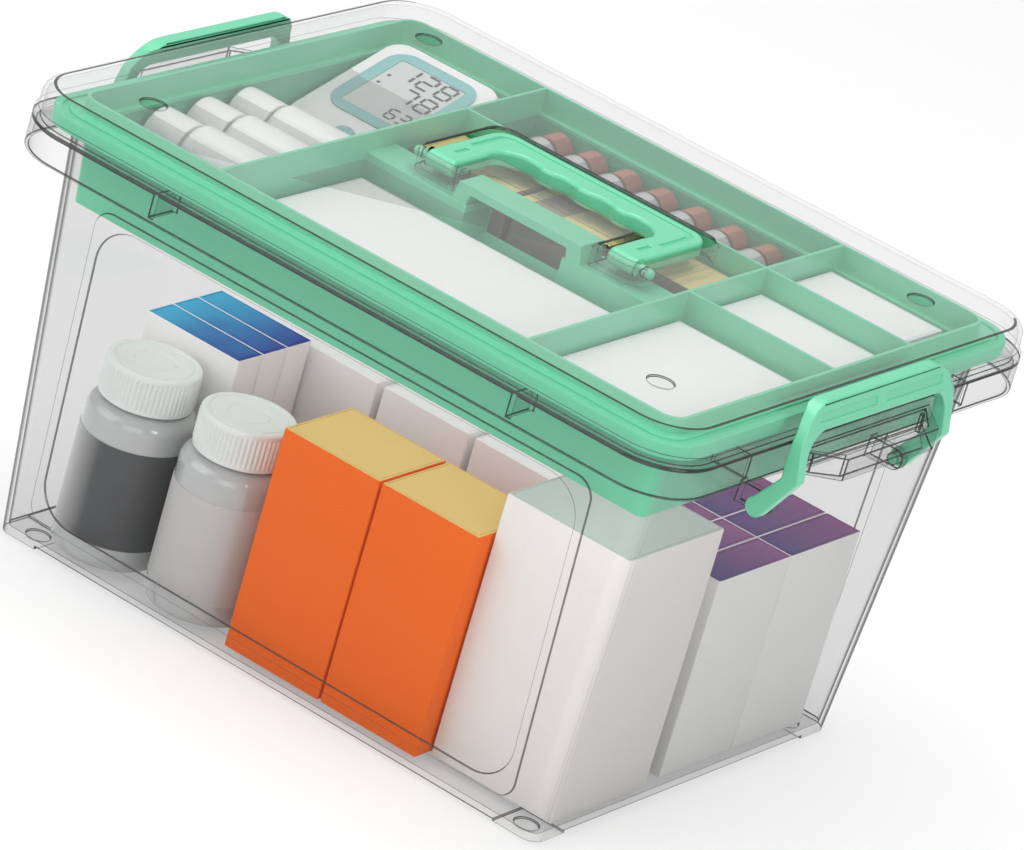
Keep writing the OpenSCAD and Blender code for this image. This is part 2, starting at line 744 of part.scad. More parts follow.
// A screw cap with a hollow for the neck and rings on its top
module screw_cap(r, h, neck_r) {
    rotate_extrude($fn = 64) polygon([
        [neck_r + 0.2, 0], [r, 0], [r, h - 1.5], [r - 1.5, h],
        [r * 0.72, h], [r * 0.72, h - 0.7], [r * 0.64, h - 0.7], [r * 0.64, h],
        [r * 0.4, h], [r * 0.4, h - 0.7], [r * 0.32, h - 0.7], [r * 0.32, h], [0, h],
        [0, h - 2.4], [neck_r + 0.2, h - 2.4]]);
}

// The place of pill bottle i
module at_bottle(i) {
    translate([bottle_at[0] + (i - 1) * bottle_pitch, bottle_at[1], floor_z + seat]) children();
}

module pill_bottle_body(i) {
    color(bottle_white) at_bottle(i) bottle_body(bottle_r, bottle_h, cap_r - 4, cap_h);
}

module pill_bottle_cap(i) {
    color(bottle_white) at_bottle(i) translate([0, 0, bottle_h - cap_h]) screw_cap(cap_r, cap_h, cap_r - 4);
}

module bottle_labels() {
    color([0.45, 0.45, 0.46]) for (i = [1, 2]) at_bottle(i) translate([0, 0, label_low]) difference() {
        cylinder(h = bottle_h - cap_h - label_low - label_drop, r = bottle_r + label_t, $fn = 64);
        translate([0, 0, -cut]) cylinder(h = bottle_h, r = bottle_r, $fn = 64);
    }
}

// A closed carton with its lowest corner at a place
module carton(at, size, paint) {
    color(paint) translate(at) cube(size);
}

module orange_carton(i) {
    x = tall_at[0] - (3 - i) * (orange[0] + orange_gap);
    carton([x, orange_y, floor_z + seat], orange, [0.92, 0.43, 0.16]);
}

module tall_carton() {
    carton([tall_at[0], tall_at[1], floor_z + seat], tall, carton_white);
}

module purple_carton(i) {
    column = (i - 1) % 3;
    row = floor((i - 1) / 3);
    carton([purple_at[0] - (column + 1) * purple[0] - column * carton_gap,
        purple_at[1] - (row + 1) * purple[1] - row * carton_gap, floor_z + seat], purple, [0.45, 0.33, 0.55]);
}

module blue_carton(i) {
    carton([blue_at[0], blue_at[1] + (i - 1) * (blue[1] + carton_gap), floor_z + seat], blue, [0.2, 0.4, 0.68]);
}

module white_carton(i) {
    carton([white_x + (i - 1) * (white[0] + 4), white_y, floor_z + seat], white, carton_white);
}

// The place of small bottle i, which lies along X with its cap towards the end wall
module at_small(i) {
    translate([small_at[0] + small_h, small_at[1] - (3 - i) * small_pitch,
        tray_floor + small_pack_h + small_r + 2 * seat]) rotate([0, -90, 0]) children();
}

module small_bottle_body(i) {
    color(bottle_white) at_small(i) bottle_body(small_r, small_h, small_cap_r - 3, small_cap_h);
}

module small_bottle_cap(i) {
    color(bottle_white) at_small(i) translate([0, 0, small_h - small_cap_h])
        screw_cap(small_cap_r, small_cap_h, small_cap_r - 3);
}

module small_bottle_pack() {
    carton([small_at[0] + 4, small_at[1] - 2 * small_pitch - small_r + 1, tray_floor + seat],
        [small_h - 6, 2 * small_pitch + 2 * small_r - 2, small_pack_h], carton_white);
}

// The place of the monitor, which leans with its front edge on the tray's floor
module at_monitor() {
    translate([monitor_x, monitor_front, tray_floor + seat]) rotate([monitor_tilt, 0, 0])
        translate([0, monitor[1] / 2, 0]) children();
}

button_y = -monitor[1] / 2 + 8;
bezel_y = (monitor[1] - bezel_l) / 2 - bezel_far;

module monitor_case() {
    color([0.93, 0.93, 0.92]) at_monitor() difference() {
        union() {
            slab([monitor[0] / 2, monitor[1] / 2], 12, 0, monitor[2] - 1.5);
            slab([monitor[0] / 2 - 1.5, monitor[1] / 2 - 1.5], 10.5, monitor[2] - 2, monitor[2]);
        }
        translate([0, button_y, monitor[2] - 5]) cylinder(h = 5 + cut, r = button_r + 0.3, $fn = 48);
    }
}

module monitor_bezel() {
    color([0.5, 0.75, 0.74]) at_monitor() translate([0, bezel_y, monitor[2]]) linear_extrude(0.8) difference() {
        rounded([monitor[0] / 2 - bezel_in, bezel_l / 2], 12);
        rounded([monitor[0] / 2 - bezel_in - bezel_w, bezel_l / 2 - bezel_w], 2);
    }
}

module monitor_screen() {
    inset = bezel_w + 0.2;
    color([0.78, 0.8, 0.79]) at_monitor() translate([0, bezel_y, 0])
        slab([monitor[0] / 2 - bezel_in - inset, bezel_l / 2 - inset], 1.8, monitor[2], monitor[2] + 0.5);
}

module monitor_button() {
    color([0.5, 0.75, 0.74]) at_monitor() translate([0, button_y, monitor[2] - 5 + button_travel + 0.3])
        cylinder(h = 5.2, r = button_r, $fn = 48);
}

module monitor_pack() {
    carton([monitor_x - monitor_pack_w / 2, monitor_front + monitor_pack_y, tray_floor + seat],
        [monitor_pack_w, monitor_pack_l, monitor_pack_y * tan(monitor_tilt) - 0.3], carton_white);
}

module dressing_carton() {
    carton([dressing_x, -tray_in[1] + 4, tray_floor + seat], dressing, carton_white);
}

// Carton i of the right column fills the compartment between two dividers
module column_carton(i) {
    from = [-tray_in[1] + 4, column_y + 4, divider_y + 4][i - 1];
    to = [column_y - 6, divider_y - 3, tray_in[1] - 2][i - 1];
    carton([column_x, from, tray_floor + seat], [column_l - (i - 1) * 3, to - from, column_h - 2 + i], carton_white);
}

module yellow_carton(i) {
    carton([(i - 2) * (yellow[0] + yellow_gap) - yellow[0] / 2, divider_y - 3 - yellow[1], tray_floor + seat],
        yellow, [0.87, 0.8, 0.58]);
}

// The place of vial i, which lies along Y with its cap towards the back
module at_vial(i) {
    translate([vial_x0 + (i - 1) * vial_pitch, vial_back - vial_h, tray_floor + vial_pack_h + vial_r + 2 * seat])
        rotate([-90, 0, 0]) children();
}

module vial_body(i) {
    color([0.92, 0.91, 0.9]) at_vial(i) bottle_body(vial_r, vial_h, vial_r - 3, vial_cap_h);
}

module vial_cap(i) {
    color([0.66, 0.45, 0.39]) at_vial(i) translate([0, 0, vial_h - vial_cap_h])
        screw_cap(vial_r - 0.5, vial_cap_h, vial_r - 3);
}

module vial_pack() {
    carton([vial_x0 - vial_r - 1, vial_back - vial_h + 2, tray_floor + seat],
        [(vials - 1) * vial_pitch + 2 * vial_r + 2, vial_h - 6, vial_pack_h], carton_white);
}

tub();
lid();
lid_handle();
latch_right();
latch_left();
tray();
pill_bottle_body(1);  // bottle_1_body
pill_bottle_body(2);  // bottle_2_body
bottle_labels();
pill_bottle_cap(1);  // bottle_1_cap
pill_bottle_cap(2);  // bottle_2_cap
orange_carton(1);  // orange_carton_1
orange_carton(2);  // orange_carton_2
tall_carton();
purple_carton(1);  // purple_carton_1
purple_carton(2);  // purple_carton_2
purple_carton(3);  // purple_carton_3
purple_carton(4);  // purple_carton_4
purple_carton(5);  // purple_carton_5
purple_carton(6);  // purple_carton_6
blue_carton(1);  // blue_carton_1
blue_carton(2);  // blue_carton_2
blue_carton(3);  // blue_carton_3
white_carton(1);  // white_carton_1
white_carton(2);  // white_carton_2
white_carton(3);  // white_carton_3
small_bottle_body(1);  // small_bottle_1_body
small_bottle_body(2);  // small_bottle_2_body
small_bottle_body(3);  // small_bottle_3_body
small_bottle_cap(1);  // small_bottle_1_cap
small_bottle_cap(2);  // small_bottle_2_cap
small_bottle_cap(3);  // small_bottle_3_cap
small_bottle_pack();
monitor_case();
monitor_bezel();
monitor_screen();
monitor_button();
monitor_pack();
dressing_carton();
column_carton(1);  // column_carton_1
column_carton(2);  // column_carton_2
column_carton(3);  // column_carton_3
yellow_carton(1);  // yellow_carton_1
yellow_carton(2);  // yellow_carton_2
yellow_carton(3);  // yellow_carton_3
vial_body(1);  // vial_1_body
vial_body(2);  // vial_2_body
vial_body(3);  // vial_3_body
vial_body(4);  // vial_4_body
vial_body(5);  // vial_5_body
vial_body(6);  // vial_6_body
vial_body(7);  // vial_7_body
vial_cap(1);  // vial_1_cap
vial_cap(2);  // vial_2_cap
vial_cap(3);  // vial_3_cap
vial_cap(4);  // vial_4_cap
vial_cap(5);  // vial_5_cap
vial_cap(6);  // vial_6_cap
vial_cap(7);  // vial_7_cap
vial_pack();
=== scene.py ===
import math
import bmesh
import bpy
import numpy as np
from mathutils import Matrix, Vector


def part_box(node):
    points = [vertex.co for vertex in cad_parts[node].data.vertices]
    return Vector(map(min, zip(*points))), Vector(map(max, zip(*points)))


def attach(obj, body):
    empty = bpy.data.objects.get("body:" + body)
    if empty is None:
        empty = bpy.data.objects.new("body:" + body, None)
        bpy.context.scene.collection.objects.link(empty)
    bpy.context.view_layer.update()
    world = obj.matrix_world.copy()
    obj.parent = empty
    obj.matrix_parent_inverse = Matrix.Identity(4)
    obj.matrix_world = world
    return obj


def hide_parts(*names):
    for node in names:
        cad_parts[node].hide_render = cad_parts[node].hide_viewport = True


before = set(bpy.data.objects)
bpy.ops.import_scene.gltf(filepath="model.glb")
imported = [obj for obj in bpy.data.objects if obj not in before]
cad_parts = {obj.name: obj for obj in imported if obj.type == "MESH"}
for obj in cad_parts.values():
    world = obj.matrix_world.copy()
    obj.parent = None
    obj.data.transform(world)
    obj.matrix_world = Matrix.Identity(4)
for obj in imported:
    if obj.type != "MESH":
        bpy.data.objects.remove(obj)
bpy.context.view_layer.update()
scene = bpy.context.scene
MM = 0.001

# The camera looks down on the box's front right corner from far off through a long lens, and
# leans, so that the box tips over to the right in the picture.
AZIMUTH, ELEVATION, ROLL = (math.radians(a) for a in (30.07, 22.92, 16.46))
LOOK_AT = np.array([0.0, 0.0, 100.0]) * MM
DISTANCE, SIDE, RISE = 3380.1 * MM, -21.5 * MM, -11.2 * MM
FOCAL_PX, PICTURE_W = 7041.3, 1024
back = np.array([math.sin(AZIMUTH) * math.cos(ELEVATION),
                 -math.cos(AZIMUTH) * math.cos(ELEVATION), math.sin(ELEVATION)])
level = np.array([math.cos(AZIMUTH), math.sin(AZIMUTH), 0.0])
rise = np.cross(back, level)
right = math.cos(ROLL) * level + math.sin(ROLL) * rise
up = math.cos(ROLL) * rise - math.sin(ROLL) * level
place = LOOK_AT + back * DISTANCE - right * SIDE - up * RISE
camera = bpy.data.objects.new("camera", bpy.data.cameras.new("camera"))
camera.data.sensor_width = 36.0
camera.data.lens = FOCAL_PX * camera.data.sensor_width / PICTURE_W
camera.data.clip_end = 100.0
camera.matrix_world = Matrix(np.vstack([np.column_stack([right, up, back, place]),
                                        [0, 0, 0, 1]]).tolist())
scene.collection.objects.link(camera)
scene.camera = camera
scene.view_settings.view_transform = "Standard"
# A ray crosses up to a dozen clear walls before it leaves the box
scene.cycles.transparent_max_bounces = 40


# The floor is plain and pale. For the camera and for reflections it is a little greyer and
# glows, so that it shows as evenly lit white paper with a weak shadow. All other rays meet the
# paler floor, which lights the box from below.
def new_material(name):
    """A new material with its nodes, links and Principled shader."""
    mat = bpy.data.materials.new(name)
    mat.use_nodes = True
    return mat, mat.node_tree.nodes, mat.node_tree.links, mat.node_tree.nodes["Principled BSDF"]


def maths(nodes, links, operation, a, b=0.0):
    """A Math node whose inputs are numbers or sockets."""
    node = nodes.new("ShaderNodeMath")
    node.operation = operation
    for socket, value in zip(node.inputs, (a, b)):
        if isinstance(value, (int, float)):
            socket.default_value = value
        else:
            links.new(value, socket)
    return node.outputs[0]


def mixed(nodes, links, factor, a, b):
    """A colour between a and b, each a triple or a socket, by a factor socket."""
    node = nodes.new("ShaderNodeMix")
    node.data_type = "RGBA"
    links.new(factor, node.inputs["Factor"])
    for key, value in (("A", a), ("B", b)):
        if isinstance(value, tuple):
            node.inputs[key].default_value = (*value, 1)
        else:
            links.new(value, node.inputs[key])
    return node.outputs["Result"]


FLOOR_HALF, FLOOR_GLOW = 25.0, 0.5
CORNERS = ((-1, -1), (1, -1), (1, 1), (-1, 1))
FLOOR_PALE, FLOOR_SEEN = (0.62, 0.62, 0.62), (0.42, 0.42, 0.42)
floor_mat, nodes, links, shader = new_material("pale_floor")
rays = nodes.new("ShaderNodeLightPath")
seen = maths(nodes, links, "MAXIMUM", rays.outputs["Is Camera Ray"], rays.outputs["Is Glossy Ray"])
links.new(mixed(nodes, links, seen, FLOOR_PALE, FLOOR_SEEN), shader.inputs["Base Color"])
links.new(maths(nodes, links, "MULTIPLY", seen, FLOOR_GLOW), shader.inputs["Emission Strength"])
shader.inputs["Emission Color"].default_value = (1, 1, 1, 1)
shader.inputs["Roughness"].default_value = 0.9
shader.inputs["Specular IOR Level"].default_value = 0.1
floor_mesh = bpy.data.meshes.new("floor")
floor_mesh.from_pydata([(FLOOR_HALF * x, FLOOR_HALF * y, 0) for x, y in CORNERS], [], [(0, 1, 2, 3)])
floor_mesh.materials.append(floor_mat)
floor = bpy.data.objects.new("floor", floor_mesh)
scene.collection.objects.link(floor)

# The room is an even white, and four soft lamps give the shape: a broad one above, a broader one
# at the front left, a low one in front and a small one at the right. A wide, dim one under the
# tray fills the tub, which the mint tray would otherwise shade.
ROOM_LIGHT = 0.55
world = bpy.data.worlds.new("studio")
scene.world = world
world.use_nodes = True
room = world.node_tree.nodes["Background"]
room.inputs["Color"].default_value = (1, 1, 1, 1)
room.inputs["Strength"].default_value = ROOM_LIGHT


def soft_lamp(name, spot, size, power):
    """A square area lamp at a spot, in metres, that looks at the middle of the box."""
    lamp = bpy.data.objects.new(name, bpy.data.lights.new(name, "AREA"))
    lamp.data.size = size
    lamp.data.energy = power
    lamp.location = spot
    lamp.rotation_euler = (Vector(LOOK_AT) - Vector(spot)).to_track_quat("-Z", "Y").to_euler()
    scene.collection.objects.link(lamp)


soft_lamp("lamp_above", (-0.3, 0.2, 2.4), 1.8, 32)
soft_lamp("lamp_left", (-1.8, -1.9, 1.5), 2.4, 34)
soft_lamp("lamp_front", (0.9, -2.2, 0.6), 1.6, 13)
soft_lamp("lamp_right", (2.2, -0.6, 1.2), 1.0, 20)
FILL_SIZE, FILL_Z, FILL_POWER, FILL_PINK = (0.36, 0.27), 0.172, 0.28, (1.0, 0.80, 0.88)
fill = bpy.data.objects.new("lamp_fill", bpy.data.lights.new("lamp_fill", "AREA"))
fill.data.shape = "RECTANGLE"
fill.data.size, fill.data.size_y = FILL_SIZE
fill.data.energy = FILL_POWER
fill.data.color = FILL_PINK
fill.location = (0, 0, FILL_Z)
fill.visible_camera = False
fill.visible_glossy = False
scene.collection.objects.link(fill)


# The tub is one injection moulding in clear plastic: tapered walls with a raised frame on the
# front and the back, a rim with a hanging skirt, two end grips, the latches' pivot lugs, gussets
# and four feet on corner pads. Light that runs along inside the walls leaves at their edges, so
# the edges look dark. That shade is painted: dark materials go on the rounded edges and on the
# round corners of the wall.
PLASTIC_IOR, EDGE_POWER = 1.45, 4.0


def clear_material(name, veil, reach, light, dark, gloss=0.05, tint=0.0, rim=(0.0, 1.0, 8.0)):
    """Clear plastic: see-through, with a faint veil, painted shade where it is seen edge on, and
    glossy.

    The solid share is veil + reach * s^power, where s rises from 0 to 1 between the two facing
    values that stand before the power in rim. Its colour runs from light to dark with
    facing^EDGE_POWER. What the camera sees through it is dimmed by tint * facing, and the shine
    on top is gloss times Fresnel's share.
    """
    mat, nodes, links, shader = new_material(name)
    layer = nodes.new("ShaderNodeLayerWeight")
    layer.inputs["Blend"].default_value = 0.5
    facing = layer.outputs["Facing"]
    start, full, power = rim
    share = maths(nodes, links, "SUBTRACT", facing, start)
    share = maths(nodes, links, "DIVIDE", share, full - start)
    share.node.use_clamp = True
    share = maths(nodes, links, "MULTIPLY", maths(nodes, links, "POWER", share, power), reach)
    share = maths(nodes, links, "ADD", share, veil)
    edge_on = maths(nodes, links, "POWER", facing, EDGE_POWER)
    links.new(mixed(nodes, links, edge_on, light, dark), shader.inputs["Base Color"])
    shader.inputs["Roughness"].default_value = 0.1
    clear = nodes.new("ShaderNodeBsdfTransparent")
    camera_ray = nodes.new("ShaderNodeLightPath").outputs["Is Camera Ray"]
    dimmed = maths(nodes, links, "MULTIPLY", facing, camera_ray)
    links.new(mixed(nodes, links, dimmed, (1.0, 1.0, 1.0), (1 - tint,) * 3), clear.inputs["Color"])
    body = nodes.new("ShaderNodeMixShader")
    links.new(share, body.inputs["Fac"])
    links.new(clear.outputs[0], body.inputs[1])
    links.new(shader.outputs[0], body.inputs[2])
    shine = nodes.new("ShaderNodeBsdfAnisotropic")
    shine.inputs["Roughness"].default_value = 0.04
    fresnel = nodes.new("ShaderNodeFresnel")
    fresnel.inputs["IOR"].default_value = PLASTIC_IOR
    coat = nodes.new("ShaderNodeMixShader")
    links.new(maths(nodes, links, "MULTIPLY", fresnel.outputs[0], gloss), coat.inputs["Fac"])
    links.new(body.outputs[0], coat.inputs[1])
    links.new(shine.outputs[0], coat.inputs[2])
    links.new(coat.outputs[0], nodes["Material Output"].inputs["Surface"])
    return mat


def put(name, mesh, mats, body, nodes):
    """Adds a finished mesh as a piece that rides on a body and stands for CAD nodes."""
    for mat in mats:
        mesh.materials.append(mat)
    piece = bpy.data.objects.new(name, mesh)
    scene.collection.objects.link(piece)
    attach(piece, body)
    if nodes:
        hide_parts(*nodes)
    return piece


def across(edge, face):
    """How far a face reaches from one of its edges."""
    start = edge.verts[0].co
    line = (edge.verts[1].co - start).normalized()
    return max((v.co - start).cross(line).length for v in face.verts)


# Points closer than WELD mm are one, and faces within FLAT degrees of each other are one. An
# ordinary edge takes a PLAIN share of a bold one's width, and no edge more than NARROW of the
# face beside it. An edge within LEVEL mm of a bold height is bold where its wall faces FRONT by
# more than FACING.
WELD, FLAT, PLAIN, NARROW = 0.01, 0.6, 0.5, 0.2
LEVEL, FRONT, FACING = 0.15, (0.5, -0.86), 0.3


def dressed(node, body, mats, width, segments=2, angle=30, bold=(), paint=None, hollow=1.0):
    """A finished copy of a CAD solid: its triangles are merged into faces and its edges rounded.

    The second material, if there is one, goes on the rounded edges. They are narrower beside
    narrow faces, and up to twice as wide at the bold heights over a wall that faces the front or
    the right. Concave edges get a share of the width, hollow. A paint function of the faces'
    normals and middles gives each face the number of its material.
    """
    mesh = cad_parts[node].data.copy()
    mesh.name = node + "_finish"
    build = bmesh.new()
    build.from_mesh(mesh)
    bmesh.ops.remove_doubles(build, verts=build.verts, dist=WELD * MM)
    bmesh.ops.dissolve_limit(build, angle_limit=math.radians(FLAT), verts=build.verts,
                             edges=build.edges, use_dissolve_boundaries=False)
    bend = np.array([edge.calc_face_angle(0.0) for edge in build.edges])
    sharp = bend > math.radians(angle)
    room = np.array([min(across(edge, face) for face in edge.link_faces) / MM if bent else 0.0
                     for edge, bent in zip(build.edges, sharp)])
    convex = np.array([edge.is_convex for edge in build.edges])
    wall = np.array([max(FRONT[0] * face.normal.x + FRONT[1] * face.normal.y
                         for face in edge.link_faces) for edge in build.edges])
    build.to_mesh(mesh)
    build.free()
    mesh.materials.clear()
    spots = np.empty(len(mesh.vertices) * 3)
    mesh.vertices.foreach_get("co", spots)
    spots = spots.reshape(-1, 3) / MM
    ends = np.empty(len(mesh.edges) * 2, np.int32)
    mesh.edges.foreach_get("vertices", ends)
    ends = spots[ends.reshape(-1, 2)]
    strong = np.zeros(len(bend), bool)
    for height in bold:
        strong |= np.all(np.abs(ends[:, :, 2] - height) < LEVEL, axis=1) & (wall > FACING)
    size = np.minimum(np.where(strong, 1.0, PLAIN), NARROW * room / width)
    weight = np.where(sharp, size * np.where(convex, 1.0, hollow), 0.0)
    mesh.attributes.new("bevel_weight_edge", "FLOAT", "EDGE").data.foreach_set("value", weight)
    if paint:
        face = np.empty(len(mesh.polygons) * 3)
        mesh.polygons.foreach_get("normal", face)
        middle = np.empty(len(mesh.polygons) * 3)
        mesh.polygons.foreach_get("center", middle)
        index = paint(face.reshape(-1, 3), middle.reshape(-1, 3) / MM)
        mesh.polygons.foreach_set("material_index", index.astype(np.int32))
    mesh.polygons.foreach_set("use_smooth", np.ones(len(mesh.polygons), bool))
    piece = put(node + "_finish", mesh, mats, body, [node])
    edge = piece.modifiers.new("round_edge", "BEVEL")
    edge.width = width / PLAIN * MM
    edge.segments = segments
    edge.limit_method = "WEIGHT"
    edge.use_clamp_overlap = False
    if len(mats) > 1:
        edge.material = 1
    piece.modifiers.new("even_shading", "WEIGHTED_NORMAL")
    return piece


SKIRT_Z, CORNER_TURN, CORNER_RISE = 198, 0.12, 0.5


def tub_paint(face, middle):
    """The round corners of the wall below the skirt take the third material, a painted shade."""
    turned_in = np.abs(face[:, :2]).min(axis=1) > CORNER_TURN
    upright = np.abs(face[:, 2]) < CORNER_RISE
    return np.where(turned_in & upright & (middle[:, 2] < SKIRT_Z), 2, 0)


BLACK, GREY = (0.01, 0.01, 0.01), (0.6, 0.61, 0.61)
CLEAR = clear_material("clear_plastic", veil=0.004, reach=1.0, light=GREY, dark=BLACK, tint=0.2)
# Painted shade: a nearly solid black for the rounded edges, twice as wide at the bold heights on walls
# that face the front and right, and a black for the wall's round corners seen edge on.
PAINTED_EDGE_SHADE = clear_material("clear_edge_painted_shade", veil=0.9, reach=0.1, light=(0.02, 0.018, 0.016),
                            dark=BLACK, gloss=0.02)
PAINTED_CORNER_SHADE = clear_material("clear_corner_painted_shade", veil=0.004, reach=0.95, light=(0.1, 0.1, 0.1),
                              dark=BLACK, gloss=0.02, tint=0.2, rim=(0.4, 0.64, 1.0))
dressed("tub", "tub", [CLEAR, PAINTED_EDGE_SHADE, PAINTED_CORNER_SHADE], 0.6,
        bold=(1.0, 2.0, 215.0), paint=tub_paint)

# The lid is a second clear moulding. Its crown steps in from the base flange, and a U-shaped
# pocket sunk in its top takes the handle. Its top is a little hazier than the tub.
# How far up the normals of the flat top and of the last facet point, and how far back
LID_TOP_Z, FLAT_UP, FACET_UP, FACET_BACK = 232.0, 0.999, (0.966, 0.998), 0.1


def lid_paint(face, middle):
    """The flat top takes the third material, and the last facet before it the edge's, a painted shade
    line.

    At the back of the crown that facet stays as clear as the rest.
    """
    high = middle[:, 2] > LID_TOP_Z - 0.5
    flat = face[:, 2] > FLAT_UP
    last_facet = (face[:, 2] > FACET_UP[0]) & (face[:, 2] < FACET_UP[1]) & (face[:, 1] < FACET_BACK)
    return np.where(high & last_facet, 1, np.where(high & flat, 2, 0))


LID_HAZE = clear_material("hazy_lid_top", veil=0.14, reach=0.3, light=(0.62, 0.63, 0.63),
                          dark=(0.5, 0.5, 0.5))
LID_CLEAR = clear_material("clear_lid", veil=0.004, reach=1.0, light=GREY, dark=BLACK, tint=0.06)
# Painted shade: the dark edge material on the crown's last facet and on the rounded edges, wider at the
# top's height over walls that face the front and right.
dressed("lid", "lid", [LID_CLEAR, PAINTED_EDGE_SHADE, LID_HAZE], 0.45,
        bold=(LID_TOP_Z,), paint=lid_paint)

# The handle is moulded in mint plastic with finger hollows along its bar. The same plastic makes
# the two latches, which swing on pins in the tub's lugs, and the tray.
ROUGH_SPREAD, PALER = 0.14, 0.96


def moulded(name, colour, rough, sheen=0.0):
    """Moulded plastic: a soft gloss whose roughness and surface waver slightly.

    The colour is a triple, which then wavers down to PALER times itself, or a function that
    makes a colour socket. The roughness wavers by ROUGH_SPREAD round rough.
    """
    mat, nodes, links, shader = new_material(name)
    spot = nodes.new("ShaderNodeTexCoord").outputs["Object"]
    flow = nodes.new("ShaderNodeTexNoise")
    flow.inputs["Scale"].default_value = 45.0
    flow.inputs["Detail"].default_value = 4.0
    links.new(spot, flow.inputs["Vector"])
    wander = maths(nodes, links, "MULTIPLY", flow.outputs["Fac"], ROUGH_SPREAD)
    links.new(maths(nodes, links, "ADD", wander, rough - ROUGH_SPREAD / 2), shader.inputs["Roughness"])
    if callable(colour):
        links.new(colour(nodes, links, spot), shader.inputs["Base Color"])
    else:
        dimmer = tuple(PALER * c for c in colour)
        links.new(mixed(nodes, links, flow.outputs["Fac"], dimmer, colour), shader.inputs["Base Color"])
    fine = nodes.new("ShaderNodeTexNoise")
    fine.inputs["Scale"].default_value = 900.0
    links.new(spot, fine.inputs["Vector"])
    bump = nodes.new("ShaderNodeBump")
    bump.inputs["Strength"].default_value = 0.05
    bump.inputs["Distance"].default_value = 0.0002
    links.new(fine.outputs["Fac"], bump.inputs["Height"])
    links.new(bump.outputs["Normal"], shader.inputs["Normal"])
    shader.inputs["Coat Weight"].default_value = sheen
    return mat


MINT = moulded("mint_plastic", (0.145, 0.58, 0.35), 0.32, 0.2)
dressed("lid_handle", "lid_handle", [MINT], 2.2, segments=5)
for side in ("right", "left"):
    dressed("latch_" + side, "latch_" + side, [MINT], 0.8, segments=3, angle=20)
dressed("tray", "tray", [MINT], 0.2)


# The two pill bottles are blown in grey, half-clear plastic with a round shoulder, and stand in
# the tub's front left corner. A paper label goes round each.
def turned(name, centre, axis, rows, sides, ribs=0, rib=None, mat_rows=()):
    """A turned mesh: rows of (radius, height) carried round an axis.

    A rib depth for each row adds depth * cos(ribs * angle) to its radius. The first and last
    rows are closed by flat caps.
    """
    rows = np.asarray(rows, float)
    angle = np.linspace(0, 2 * np.pi, sides, endpoint=False)
    depth = np.zeros(len(rows)) if rib is None else np.asarray(rib, float)
    radius = rows[:, :1] + depth[:, None] * np.cos(ribs * angle)[None, :]
    along = np.broadcast_to(rows[:, 1:2], radius.shape)
    local = np.stack([radius * np.cos(angle), radius * np.sin(angle), along], axis=-1)
    z = Vector(axis).normalized()
    turn = np.array(z.to_track_quat("Z", "Y").to_matrix())
    points = (local.reshape(-1, 3) @ turn.T + np.asarray(centre, float)) * MM
    return ring_mesh(name, points, len(rows), sides, mat_rows)


def ring_mesh(name, points, rows, sides, mat_rows=()):
    """A closed mesh from rings of points: quads between the rings and a flat cap at each end.

    Rows from each number in mat_rows on take the next material.
    """
    i = np.repeat(np.arange(rows - 1), sides)
    j = np.tile(np.arange(sides), rows - 1)
    k = (j + 1) % sides
    quads = np.stack([i * sides + j, i * sides + k, (i + 1) * sides + k, (i + 1) * sides + j], axis=1)
    first = np.arange(sides)[::-1].tolist()
    last = (np.arange(sides) + (rows - 1) * sides).tolist()
    mesh = bpy.data.meshes.new(name)
    mesh.from_pydata(points.tolist(), [], quads.tolist() + [first, last])
    mesh.polygons.foreach_set("use_smooth", np.ones(len(mesh.polygons), bool))
    mesh.set_sharp_from_angle(angle=math.radians(32))
    if mat_rows:
        between = np.searchsorted(np.array(mat_rows), i, side="right")
        index = np.concatenate([between, [0, len(mat_rows)]])
        mesh.polygons.foreach_set("material_index", index.astype(np.int32))
    return mesh


def arc(cx, cz, r, start, end, n):
    """Points of an arc in a radius and height plane, from a start to an end angle in degrees."""
    a = np.radians(np.linspace(start, end, n))
    return list(zip(cx + r * np.cos(a), cz + r * np.sin(a)))


# The row of a bottle's outline at which its shoulder starts, and the two rows of a cap's outline
# between which its ribs run
SHOULDER_ROW, RIB_ROWS = 9, (7, 8)


def bottle_rows(r, h, neck_r, cap_h):
    """A bottle's outline: a round base, a straight side, a round shoulder and a neck."""
    neck_z = h - cap_h
    s = r - neck_r
    base = [(r * 0.3, 0.8), (r * 0.75, 0), (r - 3, 0)] + arc(r - 3, 3, 3, -75, 0, 6)
    shoulder = arc(neck_r, neck_z - 1 - s, s, 0, 78, 12)
    return base + shoulder + [(neck_r, neck_z - 0.6), (neck_r, h - 2.5)]


def cap_rows(r, h, neck_r):
    """A screw cap's outline, from its hollow over its skirt to the rings on its top.

    The second result says which of its rows are ribbed.
    """
    hollow = [(0.4, h - 2.4), (neck_r + 0.2, h - 2.4), (neck_r + 0.2, 0)]
    skirt = [(r - 0.4, 0), (r, 0.4), (r, h * 0.06), (r, h * 0.1), (r, h * 0.14), (r, h * 0.84),
             (r, h * 0.86)]
    rings = [(r * 0.86, h), (r * 0.845, h - 0.5), (r * 0.82, h - 0.5), (r * 0.8, h - 0.1),
             (r * 0.46, h - 0.1), (r * 0.445, h - 0.5), (r * 0.42, h - 0.5), (r * 0.4, h - 0.1),
             (0.4, h - 0.1)]
    rows = hollow + skirt + arc(r - 1.6, h - 1.6, 1.6, 0, 90, 6) + rings
    return rows, np.isin(np.arange(len(rows)), RIB_ROWS)


